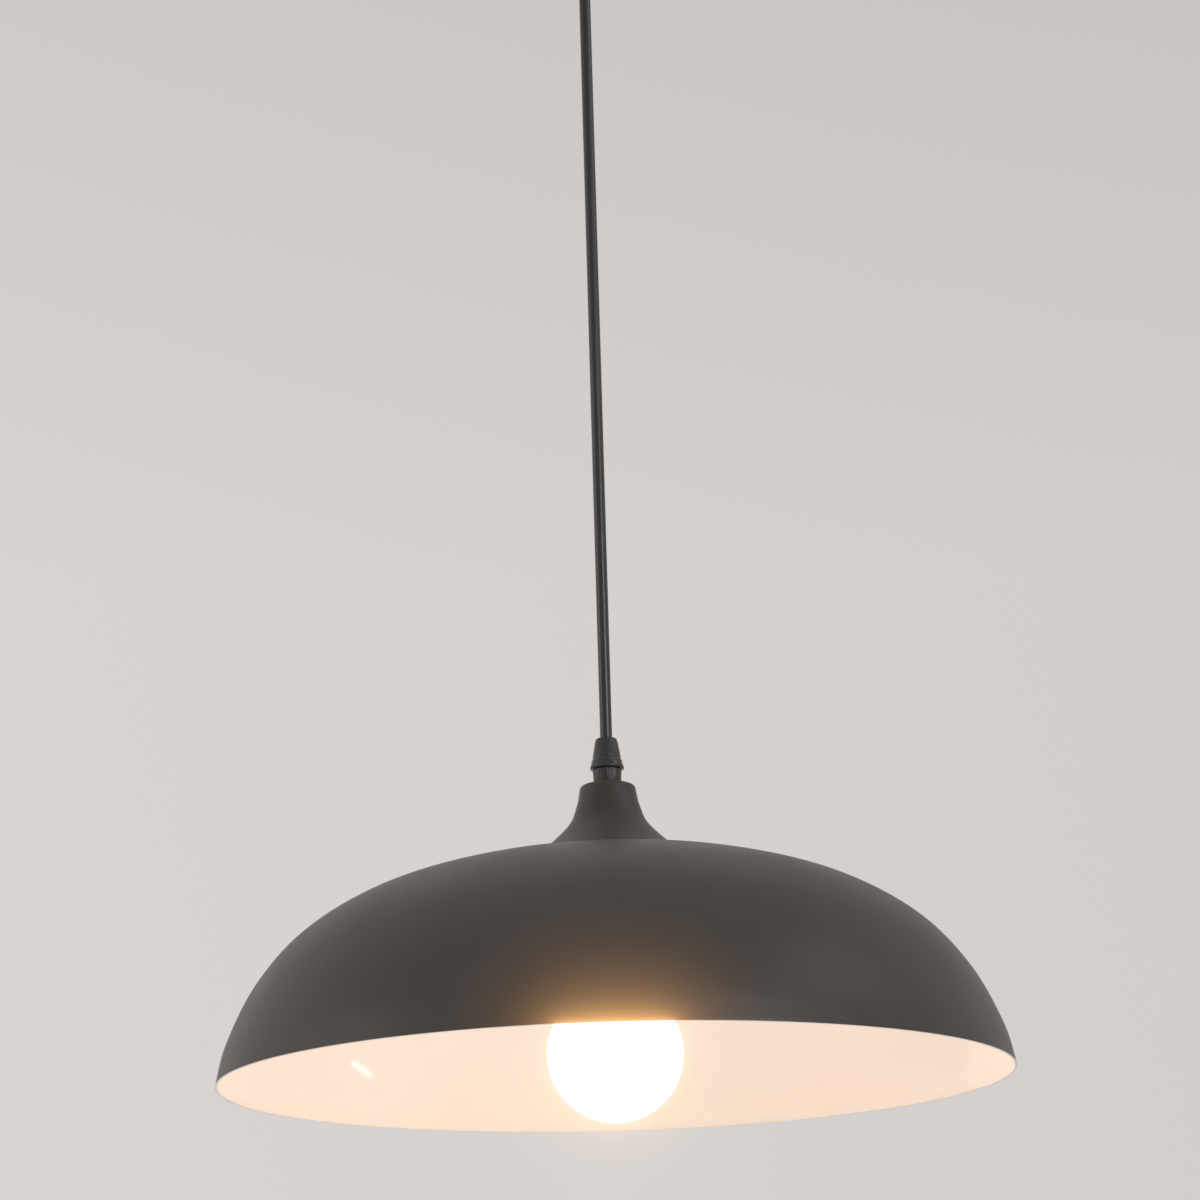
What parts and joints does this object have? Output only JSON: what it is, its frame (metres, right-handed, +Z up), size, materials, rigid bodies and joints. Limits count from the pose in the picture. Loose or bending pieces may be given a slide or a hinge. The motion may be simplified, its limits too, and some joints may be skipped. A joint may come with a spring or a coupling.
{
  "type": "pendant ceiling light",
  "caption": "Pendant light: a spun metal dome with a trumpet neck hangs on a round cord below a ceiling cup and holds one opal screw-in bulb.",
  "frame": {"origin": "centre of the ceiling bracket's flat top, in the plane of the ceiling", "axes": "+Z up along the lamp's axis, into the ceiling; the lamp hangs towards -Z; X along the bracket, which the canopy's side screws enter"},
  "size_m": [0.35, 0.35, 0.607],
  "materials": {
    "charcoal_coat": "matte",
    "black_nylon": "satin",
    "black_pvc": "satin",
    "zinc_steel": "satin",
    "brass": "satin",
    "nickel": "satin",
    "white_plastic": "satin",
    "black_bakelite": "gloss",
    "opal": "satin",
    "ceramic": "satin",
    "white_board": "satin",
    "brown_core": "satin",
    "blue_core": "satin",
    "green_core": "satin"
  },
  "bodies": {
    "ceiling_mount": {"ceiling_bracket": "zinc_steel", "canopy": "charcoal_coat", "canopy_screw_left": "zinc_steel", "canopy_screw_right": "zinc_steel", "earth_screw": "zinc_steel", "canopy_nipple": "zinc_steel", "canopy_washer": "zinc_steel", "canopy_lock_nut": "zinc_steel", "canopy_grip_collar": "black_nylon", "canopy_cord_end": "black_pvc", "terminal_block": "white_plastic", "terminal_block_screw": "zinc_steel", "terminal_tube_live": "brass", "terminal_tube_neutral": "brass", "terminal_screw_live_1": "zinc_steel", "terminal_screw_live_2": "zinc_steel", "terminal_screw_neutral_1": "zinc_steel", "terminal_screw_neutral_2": "zinc_steel", "canopy_wire_live": "brown_core", "canopy_wire_neutral": "blue_core", "canopy_wire_earth": "green_core"},
    "canopy_nut": {"canopy_grip_nut": "black_nylon"},
    "upper_bend": {"cord_bend": "black_pvc"},
    "hanging_cord": {"cord": "black_pvc"},
    "lower_bend": {"cord_foot": "black_pvc"},
    "head": {"shade": "charcoal_coat", "head_grip_collar": "black_nylon", "head_cord_end": "black_pvc", "nipple": "zinc_steel", "neck_washer": "zinc_steel", "neck_nut": "zinc_steel", "holder_cap": "black_bakelite", "holder_lock_screw": "zinc_steel", "holder_core": "ceramic", "terminal_post_live": "brass", "terminal_post_neutral": "brass", "post_screw_live": "zinc_steel", "post_screw_neutral": "zinc_steel", "centre_contact": "brass", "screw_shell": "brass", "holder_barrel": "black_bakelite", "wire_live": "brown_core", "wire_neutral": "blue_core", "wire_earth": "green_core", "earth_tag": "brass"},
    "head_nut": {"head_grip_nut": "black_nylon"},
    "bulb_tip": {"bulb_contact": "nickel"},
    "bulb": {"bulb_insulator": "black_bakelite", "bulb_cap": "nickel", "bulb_body": "white_plastic", "bulb_globe": "opal", "led_board": "white_board", "driver_board": "white_board"}
  },
  "joints": [
    {"name": "canopy_nut_turn", "type": "hinge", "parent": "ceiling_mount", "child": "canopy_nut", "pos_m": [0, 0, -0.0461], "axis": [0, 0, -1], "range_deg": [0, 540]},
    {"name": "swing_side", "type": "hinge", "parent": "ceiling_mount", "child": "upper_bend", "pos_m": [0, 0, -0.0536], "axis": [0, 1, 0], "range_deg": [-40, 40]},
    {"name": "swing_front", "type": "hinge", "parent": "upper_bend", "child": "hanging_cord", "pos_m": [0, 0, -0.0716], "axis": [1, 0, 0], "range_deg": [-40, 40]},
    {"name": "tilt_front", "type": "hinge", "parent": "hanging_cord", "child": "lower_bend", "pos_m": [0, 0, -0.408], "axis": [1, 0, 0], "range_deg": [-40, 40]},
    {"name": "tilt_side", "type": "hinge", "parent": "lower_bend", "child": "head", "pos_m": [0, 0, -0.426], "axis": [0, 1, 0], "range_deg": [-40, 40]},
    {"name": "head_nut_turn", "type": "hinge", "parent": "head", "child": "head_nut", "pos_m": [0, 0, -0.4335], "axis": [0, 0, 1], "range_deg": [0, 540]},
    {"name": "bulb_travel", "type": "slide", "parent": "head", "child": "bulb_tip", "axis": [0, 0, -1], "range_m": [0, 0.02534]},
    {"name": "bulb_turn", "type": "hinge", "parent": "bulb_tip", "child": "bulb", "pos_m": [0, 0, -0.498], "axis": [0, 0, -1], "range_deg": [0, 2520]}
  ],
  "couplings": [
    {"joint": "bulb_turn", "follows": "bulb_travel", "rad_per_m": 1735.7}
  ]
}
